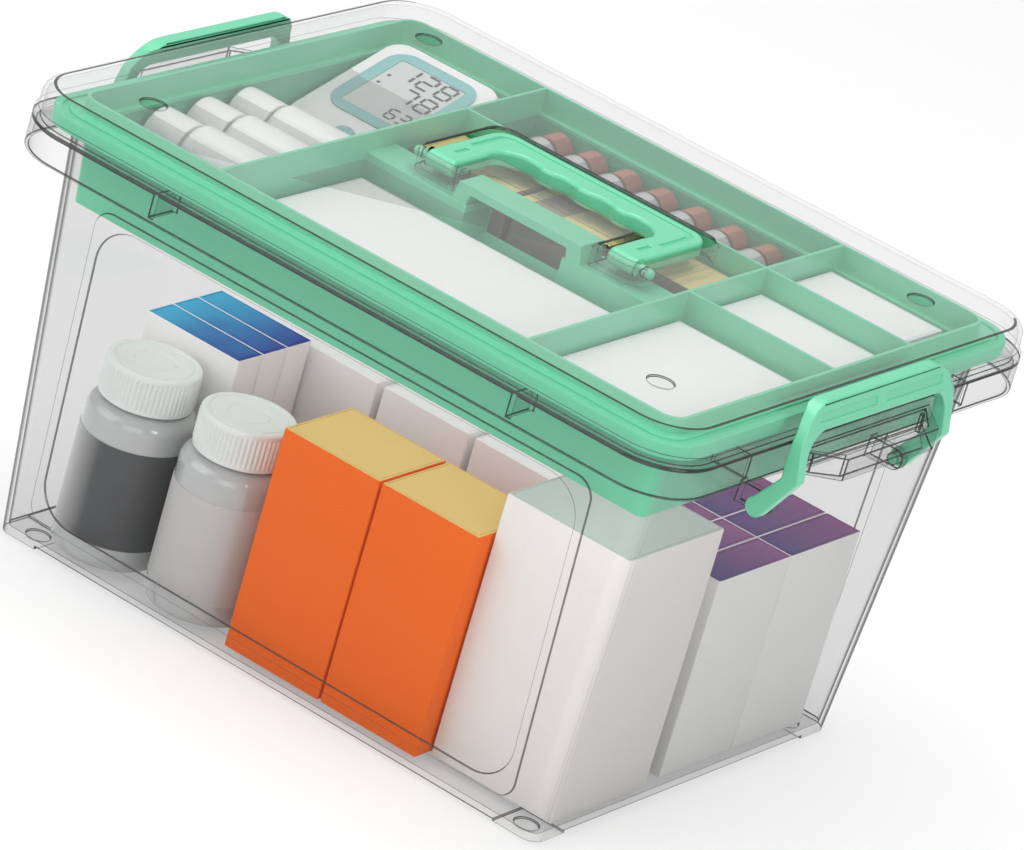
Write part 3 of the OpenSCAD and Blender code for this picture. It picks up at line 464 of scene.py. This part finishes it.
def bottle(name, kind, at, body, cap_body, mats, cap_mat, cap_word="screw_cap"):
    """A bottle and its cap in the sizes of their kind, from a place on along the kind's axis.

    A second material goes on the bottle from its shoulder on.
    """
    cap_r, cap_h = kind["cap"]
    mesh = turned(name + "_shell", at, kind["axis"],
                  bottle_rows(kind["radius"], kind["height"], kind["neck"], cap_h), kind["sides"],
                  mat_rows=(SHOULDER_ROW,) if len(mats) > 1 else ())
    put(name + "_shell", mesh, mats, body, [name + "_body"])
    rows, ribbed = cap_rows(cap_r, cap_h, kind["neck"])
    cap_at = np.asarray(at) + np.array(kind["axis"]) * (kind["height"] - cap_h)
    mesh = turned(name + "_" + cap_word, cap_at, kind["axis"], rows, kind["cap_sides"], kind["ribs"],
                  ribbed * kind["rib_depth"])
    put(name + "_" + cap_word, mesh, [cap_mat], cap_body, [name + "_cap"])


def fade(axis, start, end, near, far, patch=0.0):
    """A colour function: near at start and far at end, in mm along an axis, with soft patches."""
    def colour(nodes, links, spot):
        split = nodes.new("ShaderNodeSeparateXYZ")
        links.new(spot, split.inputs[0])
        rate = 1 / ((end - start) * MM)
        way = maths(nodes, links, "MULTIPLY_ADD", split.outputs[axis], rate)
        way.node.inputs[2].default_value = -start * MM * rate
        way.node.use_clamp = True
        if patch:
            cloud = nodes.new("ShaderNodeTexNoise")
            cloud.inputs["Scale"].default_value = 40.0
            links.new(spot, cloud.inputs["Vector"])
            drift = maths(nodes, links, "SUBTRACT", cloud.outputs["Fac"], 0.5)
            way = maths(nodes, links, "ADD", way, maths(nodes, links, "MULTIPLY", drift, patch))
            way.node.use_clamp = True
        return mixed(nodes, links, way, near, far)
    return colour


PILL_BOTTLE = {"axis": (0, 0, 1), "radius": 27.5, "height": 102.0, "neck": 19.5, "sides": 72,
               "cap": (23.5, 20.0), "cap_sides": 360, "ribs": 60, "rib_depth": 0.4}
PILL_X, PILL_Y, STAND_Z = (-124.0, -64.5), -93.8, 4.3
# A label's outline: how far it stands out from the bottle, and its height
LABEL_ROWS = ((-0.1, 12.3), (0.25, 12.1), (0.35, 12.4), (0.35, 63.6), (0.25, 63.9), (-0.1, 63.7))
# Painted reflection: label 1 is dark grey and is painted pale grey towards its left side, which faces
# the front left lamp. Label 2 is one plain grey.
LABEL = {1: fade("X", -148, -123, (0.62, 0.62, 0.62), (0.058, 0.06, 0.064)), 2: (0.50, 0.49, 0.48)}
BOTTLE_GREY = moulded("bottle_grey", (0.46, 0.47, 0.47), 0.16, 0.8)
CAP_WHITE = moulded("cap_white", (0.74, 0.77, 0.75), 0.35, 0.2)
for number, x in zip((1, 2), PILL_X):
    name = "bottle_%d" % number
    at = (x, PILL_Y, STAND_Z)
    bottle(name, PILL_BOTTLE, at, "tub", name + "_cap", [BOTTLE_GREY], CAP_WHITE)
    paper = moulded("label_%d" % number, LABEL[number], 0.5)
    wrap = [(PILL_BOTTLE["radius"] + out, height) for out, height in LABEL_ROWS]
    mesh = turned(name + "_label", at, (0, 0, 1), wrap, 96)
    put(name + "_label", mesh, [paper], "tub", [])
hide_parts("bottle_labels")


# The cartons are folded from coated board. Each has slightly round edges and a slot round its
# top flap, and its top can take its own colour. On some that is print; on the tall and orange
# cartons it is painted light and shade.
def board(name, colour):
    """Coated carton board: faint fibre in the colour, and a slight waviness in the gloss.

    The colour is a triple, or a function that makes a colour socket.
    """
    mat, nodes, links, shader = new_material(name)
    spot = nodes.new("ShaderNodeTexCoord").outputs["Object"]
    fibre = nodes.new("ShaderNodeTexNoise")
    fibre.inputs["Scale"].default_value = 260.0
    fibre.inputs["Detail"].default_value = 6.0
    links.new(spot, fibre.inputs["Vector"])
    dim = nodes.new("ShaderNodeMix")
    dim.data_type = "RGBA"
    dim.blend_type = "MULTIPLY"
    dim.inputs["Factor"].default_value = 0.06
    links.new(fibre.outputs["Fac"], dim.inputs["B"])
    if callable(colour):
        links.new(colour(nodes, links, spot), dim.inputs["A"])
    else:
        dim.inputs["A"].default_value = (*colour, 1)
    links.new(dim.outputs["Result"], shader.inputs["Base Color"])
    wave = nodes.new("ShaderNodeTexNoise")
    wave.inputs["Scale"].default_value = 25.0
    links.new(spot, wave.inputs["Vector"])
    rough = maths(nodes, links, "MULTIPLY", wave.outputs["Fac"], 0.2)
    links.new(maths(nodes, links, "ADD", rough, 0.4), shader.inputs["Roughness"])
    bump = nodes.new("ShaderNodeBump")
    bump.inputs["Strength"].default_value = 0.03
    bump.inputs["Distance"].default_value = 0.0003
    links.new(fibre.outputs["Fac"], bump.inputs["Height"])
    links.new(bump.outputs["Normal"], shader.inputs["Normal"])
    shader.inputs["Specular IOR Level"].default_value = 0.15
    return mat


def outline(half_x, half_y, r):
    """A rounded rectangle's points, counter-clockwise, for arrays of half sizes and radii."""
    per_corner = 5
    a = np.concatenate([np.linspace(q, q + 90, per_corner) for q in (0, 90, 180, 270)])
    a = np.radians(a)
    sx = np.repeat([1, -1, -1, 1], per_corner)
    sy = np.repeat([1, 1, -1, -1], per_corner)
    x = sx * (half_x - r)[:, None] + r[:, None] * np.cos(a)
    y = sy * (half_y - r)[:, None] + r[:, None] * np.sin(a)
    return x, y


# A carton's edges are round by EDGE mm and its sides bulge by BULGE mm. The slot round its top
# flap is SLOT mm deep, and the flap lies FLAP mm lower than the board beside it.
EDGE, BULGE, SLOT, FLAP = 0.7, 0.12, 0.4, 0.05
# The row of the profile from which on the top's material is used
TOP_ROW = 5


def carton(node, body, side, top):
    """A folded carton in a node's place: rounded rectangles carried up a profile of insets."""
    lo, hi = (np.array(c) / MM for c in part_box(node))
    half = (hi - lo) / 2
    low, high = lo[2], hi[2]
    steps = np.array([(EDGE, low), (EDGE * 0.3, low + EDGE * 0.3), (0, low + EDGE),
                      (-BULGE, (low + high) / 2), (0, high - EDGE), (EDGE * 0.3, high - EDGE * 0.3),
                      (EDGE, high), (EDGE + 0.5, high), (EDGE + 0.6, high - SLOT),
                      (EDGE + 0.95, high - SLOT), (EDGE + 1.1, high - FLAP)])
    inset = steps[:, 0]
    x, y = outline(half[0] - inset, half[1] - inset, np.clip(EDGE + 0.1 - inset, 0.15, None))
    z = np.broadcast_to(steps[:, 1:2], x.shape)
    middle = (lo + hi) / 2
    points = np.stack([x + middle[0], y + middle[1], z], axis=-1).reshape(-1, 3) * MM
    mesh = ring_mesh(node + "_board", points, len(steps), x.shape[1], (TOP_ROW,))
    return put(node + "_board", mesh, [side, top], body, [node])


WHITE_BOARD = board("white_board", (0.80, 0.80, 0.79))
ORANGE_BOARD = board("orange_board", (0.84, 0.14, 0.012))
# Painted light: the orange cartons' tops are painted a pale tan, lighter and duller than their orange
# sides, for how the light under the tray falls on them.
ORANGE_TOP_PAINTED_LIGHT = board("tan_board_painted_light", (0.73, 0.52, 0.19))
for number in (1, 2):
    carton("orange_carton_%d" % number, "tub", ORANGE_BOARD, ORANGE_TOP_PAINTED_LIGHT)
# Painted shade: the tall white carton's top is painted a darker grey-green than its sides, for the
# shade and the green light of the mint tray above it.
TALL_TOP_PAINTED_SHADE = board("tall_top_painted_shade", (0.48, 0.54, 0.51))
carton("tall_carton", "tub", board("tall_board", (0.80, 0.77, 0.74)), TALL_TOP_PAINTED_SHADE)
for number in (1, 2, 3):
    carton("white_carton_%d" % number, "tub", WHITE_BOARD, WHITE_BOARD)


# Three white cartons with blue tops stand behind the pill bottles, and six with violet tops in
# the back right corner. Each top runs from one shade to another along its length.
BLUE_TOP = board("blue_top", fade("X", -156, -98, (0.05, 0.40, 0.64), (0.022, 0.05, 0.30), 0.7))
for number in (1, 2, 3):
    carton("blue_carton_%d" % number, "tub", WHITE_BOARD, BLUE_TOP)
for row, (start, end) in enumerate(((48.0, 109.0), (-13.0, 48.0))):
    violet = fade("Y", start, end, (0.065, 0.040, 0.19), (0.25, 0.075, 0.23), 0.5)
    violet_top = board("violet_top_%d" % (row + 1), violet)
    for column in (1, 2, 3):
        carton("purple_carton_%d" % (3 * row + column), "tub", WHITE_BOARD, violet_top)


# In the tray lie white cartons of different sizes, the packs that carry the small bottles, the
# monitor and the vials, and three pale yellow cartons with grey-brown sides. The middle one has
# a band in the same grey-brown across its top.
def band(axis, start, end, ground, stripe):
    """A colour function: a stripe between two places, in mm along an axis, on a ground."""
    def colour(nodes, links, spot):
        split = nodes.new("ShaderNodeSeparateXYZ")
        links.new(spot, split.inputs[0])
        way = maths(nodes, links, "SUBTRACT", split.outputs[axis], (start + end) / 2 * MM)
        way = maths(nodes, links, "ABSOLUTE", way)
        way = maths(nodes, links, "LESS_THAN", way, (end - start) / 2 * MM)
        return mixed(nodes, links, way, ground, stripe)
    return colour


for node in ("dressing_carton", "column_carton_1", "column_carton_2", "column_carton_3",
             "small_bottle_pack", "monitor_pack", "vial_pack"):
    carton(node, "tray", WHITE_BOARD, WHITE_BOARD)
YELLOW, GREY_BROWN = (0.74, 0.62, 0.30), (0.34, 0.27, 0.20)
YELLOW_BOARD = board("yellow_board", YELLOW)
YELLOW_SIDE = board("yellow_side", GREY_BROWN)
YELLOW_BAND = board("yellow_band", band("X", -21, -3, YELLOW, GREY_BROWN))
for number, top in ((1, YELLOW_BOARD), (2, YELLOW_BAND), (3, YELLOW_BOARD)):
    carton("yellow_carton_%d" % number, "tray", YELLOW_SIDE, top)

# Three small white bottles lie on their pack with their caps to the left.
SMALL_BOTTLE = {"axis": (-1, 0, 0), "radius": 15.5, "height": 75.0, "neck": 11.0, "sides": 60,
                "cap": (14.0, 22.0), "cap_sides": 180, "ribs": 60, "rib_depth": 0.12}
SMALL_AT, SMALL_PITCH = np.array([-94.0, -11.0, 203.7]), 33.0
BOTTLE_WHITE = moulded("bottle_white", (0.76, 0.76, 0.75), 0.3, 0.3)
for number in (1, 2, 3):
    name = "small_bottle_%d" % number
    bottle(name, SMALL_BOTTLE, SMALL_AT - [0, (3 - number) * SMALL_PITCH, 0], "tray", name + "_cap",
           [BOTTLE_WHITE], BOTTLE_WHITE)

# Seven vials lie side by side on their pack at the back. A grey crimp ring and a ribbed
# red-brown cap close each one.
VIAL = {"axis": (0, 1, 0), "radius": 9.5, "height": 54.0, "neck": 6.5, "sides": 48,
        "cap": (9.0, 14.0), "cap_sides": 180, "ribs": 45, "rib_depth": 0.12}
VIAL_AT, VIAL_PITCH = np.array([-69.9, 70.0, 206.5]), 21.8
# The vials' white bodies are painted mid-grey: in part the grey look of their glass, in part painted
# shade.
VIAL_GREY_AND_SHADE = moulded("vial_white", (0.50, 0.50, 0.49), 0.2, 0.5)
VIAL_CAP = moulded("vial_cap_red", (0.40, 0.17, 0.12), 0.4)
CRIMP = moulded("crimp_grey", (0.22, 0.22, 0.22), 0.35)
for number in range(1, 8):
    bottle("vial_%d" % number, VIAL, VIAL_AT + [(number - 1) * VIAL_PITCH, 0, 0], "tray", "tray",
           [VIAL_GREY_AND_SHADE, CRIMP], VIAL_CAP, "crimp_cap")

# The blood pressure monitor is a white case with a teal bezel round a grey liquid crystal
# screen, and one start button. The screen shows plain seven-segment numbers.
CASE_WHITE = moulded("case_white", (0.82, 0.82, 0.81), 0.35, 0.2)
TEAL = moulded("teal_print", (0.20, 0.47, 0.46), 0.3, 0.3)
dressed("monitor_case", "tray", [CASE_WHITE], 2.0, segments=4, hollow=0.0)
for node in ("monitor_bezel", "monitor_button"):
    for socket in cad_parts[node].material_slots:
        socket.material = TEAL
SCREEN = moulded("screen_grey", (0.57, 0.60, 0.58), 0.15, 0.5)
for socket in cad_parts["monitor_screen"].material_slots:
    socket.material = SCREEN

# The seven bars of a digit as x, y, half length and 1 if it stands, in half digit sizes
BARS = np.array([(0, 1, 0.8, 0), (0, 0, 0.8, 0), (0, -1, 0.8, 0), (-1, 0.5, 0.4, 1),
                 (1, 0.5, 0.4, 1), (-1, -0.5, 0.4, 1), (1, -0.5, 0.4, 1)])
SHOWN = {"1": (4, 6), "2": (0, 4, 1, 5, 2), "7": (0, 4, 6), "8": (0, 1, 2, 3, 4, 5, 6),
         "6": (0, 3, 1, 5, 6, 2), "3": (0, 4, 1, 6, 2)}
# Half width, half height and half bar thickness of a large and a small digit, in mm
LARGE, SMALL = (3.9, 6.0, 0.8), (2.5, 4.3, 0.65)
# The digits with their middles on the screen, and two dots with their half sizes
DIGITS = (("1", -10.0, 16.6, LARGE), ("2", 1.7, 16.6, LARGE), ("8", 13.4, 16.6, LARGE),
          ("7", 1.7, 0.4, LARGE), ("8", 13.4, 0.4, LARGE), ("6", 6.2, -16.6, SMALL),
          ("3", 13.6, -16.6, SMALL))
DOTS = ((-16.6, 8.8, 0.9, 0.9), (-16.6, 0.5, 0.9, 0.9))
BAR_T, BAR_SUNK, SCREEN_T = 0.12, 0.04, 0.5
TILT, SCREEN_AT = math.radians(16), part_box("monitor_screen")


def digit(number, x, y, half_w, half_h, thick):
    """The bars of one digit as boxes: middle x and y and half width and height, in screen mm."""
    bars = BARS[list(SHOWN[number])]
    long_side = np.where(bars[:, 3] > 0, bars[:, 2] * half_h, bars[:, 2] * half_w)
    short_side = np.full(len(bars), thick)
    half = np.where(bars[:, 3:] > 0, np.stack([short_side, long_side], axis=1),
                    np.stack([long_side, short_side], axis=1))
    return np.column_stack([x + bars[:, 0] * half_w, y + bars[:, 1] * half_h, half])


bars = np.vstack([digit(number, x, y, *size) for number, x, y, size in DIGITS] + [DOTS])
corner = np.array([(x, y, z) for z in (0, 1) for x, y in CORNERS])
height = np.broadcast_to(corner[:, 2] * BAR_T - BAR_SUNK, (len(bars), 8))
local = np.stack([bars[:, :1] + bars[:, 2:3] * corner[:, 0],
                  bars[:, 1:2] + bars[:, 3:] * corner[:, 1], height], axis=-1).reshape(-1, 3)
lo, hi = (np.array(c) / MM for c in SCREEN_AT)
# The screen's top face lies half its thickness above the middle of its box
middle = (lo + hi) / 2 + np.array([0, -math.sin(TILT), math.cos(TILT)]) * SCREEN_T / 2
turn = np.array([[1, 0, 0], [0, math.cos(TILT), -math.sin(TILT)],
                 [0, math.sin(TILT), math.cos(TILT)]])
sides = np.array([(0, 3, 2, 1), (4, 5, 6, 7), (0, 1, 5, 4), (1, 2, 6, 5), (2, 3, 7, 6),
                  (3, 0, 4, 7)])
quads = (np.arange(len(bars))[:, None, None] * 8 + sides).reshape(-1, 4)
mesh = bpy.data.meshes.new("screen_numbers")
mesh.from_pydata(((local @ turn.T + middle) * MM).tolist(), [], quads.tolist())
SEGMENT_DARK = moulded("segment_dark", (0.06, 0.06, 0.07), 0.4)
put("screen_numbers", mesh, [SEGMENT_DARK], "tray", [])
